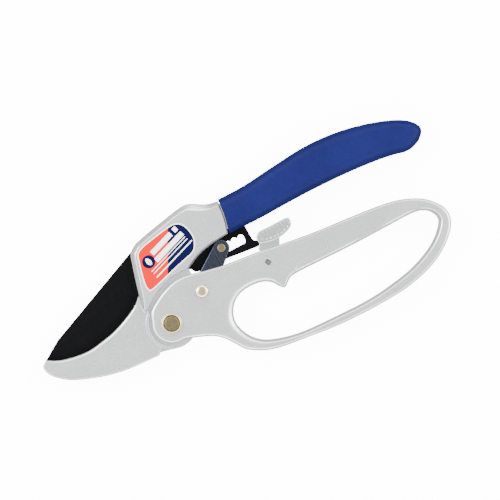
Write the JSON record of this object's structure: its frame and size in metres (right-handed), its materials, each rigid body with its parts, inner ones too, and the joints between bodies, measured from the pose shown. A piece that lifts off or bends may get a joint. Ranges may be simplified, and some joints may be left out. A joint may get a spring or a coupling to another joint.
{
  "type": "pruning shears",
  "caption": "Bypass pruning shears with a ratchet link, a sleeved upper handle, a lower handle with a closed finger guard, and a sprung thumb lock.",
  "frame": {"origin": "on the main pivot's axis, in the plane of the back face of the main rivet and of the lower handle", "axes": "+X from the jaw to the handle ends, +Y from the lower handle to the upper handle, +Z out of the front face that carries the label"},
  "size_m": [0.209, 0.0828, 0.0141],
  "materials": {
    "silver_enamel": "silver metallic enamel on a die casting, satin, with a fine grain",
    "blue_vinyl": "dipped blue vinyl, satin, finely pebbled",
    "printed_vinyl": "printed vinyl label, red and navy with a thin white border",
    "nickel_plate": "warm nickel plate, polished",
    "zinc_steel": "zinc plated pressed steel, dull",
    "bright_zinc": "bright zinc die casting",
    "black_coating": "black non-stick coating on ground steel, satin",
    "spring_steel": "drawn spring wire"
  },
  "bodies": {
    "upper_handle": {"upper_handle_casting": "silver_enamel", "grip_sleeve": "blue_vinyl", "label": "printed_vinyl", "main_pivot_rivet": "nickel_plate", "main_cup_washer": "nickel_plate", "main_pivot_bush": "zinc_steel", "blade_pivot_rivet": "zinc_steel", "blade_thrust_washer": "zinc_steel", "blade_back_washer": "zinc_steel", "opening_spring": "spring_steel"},
    "blade": {"blade": "black_coating"},
    "lower_handle": {"lower_handle_casting": "silver_enamel", "link_pivot_rivet": "nickel_plate", "link_spring": "spring_steel", "lock_pin": "zinc_steel", "lock_spring": "spring_steel"},
    "link": {"link_front_plate": "zinc_steel", "link_back_plate": "zinc_steel", "link_bush": "zinc_steel", "notch_pin": "nickel_plate"},
    "thumb_lock": {"thumb_lock": "bright_zinc"}
  },
  "joints": [
    {"name": "handle_opening", "type": "hinge", "parent": "upper_handle", "child": "lower_handle", "pos_m": [0, 0, 0.006], "axis": [0, 0, -1], "range_deg": [0, 36]},
    {"name": "blade_swing", "type": "hinge", "parent": "upper_handle", "child": "blade", "pos_m": [0.0059, 0.0249, 0.0061], "axis": [0, 0, -1], "range_deg": [0, 28.1]},
    {"name": "link_swing", "type": "hinge", "parent": "lower_handle", "child": "link", "pos_m": [0.0193, 0.0073, 0.0061], "axis": [0, 0, 1], "range_deg": [0, 19.1]},
    {"name": "lock_swing", "type": "hinge", "parent": "lower_handle", "child": "thumb_lock", "pos_m": [0.0532, 0.006, 0.0061], "axis": [0, 0, 1], "range_deg": [0, 6]}
  ],
  "couplings": [
    {"joint": "blade_swing", "follows": "handle_opening", "ratio": 0.778},
    {"joint": "link_swing", "follows": "handle_opening", "ratio": 0.528}
  ]
}
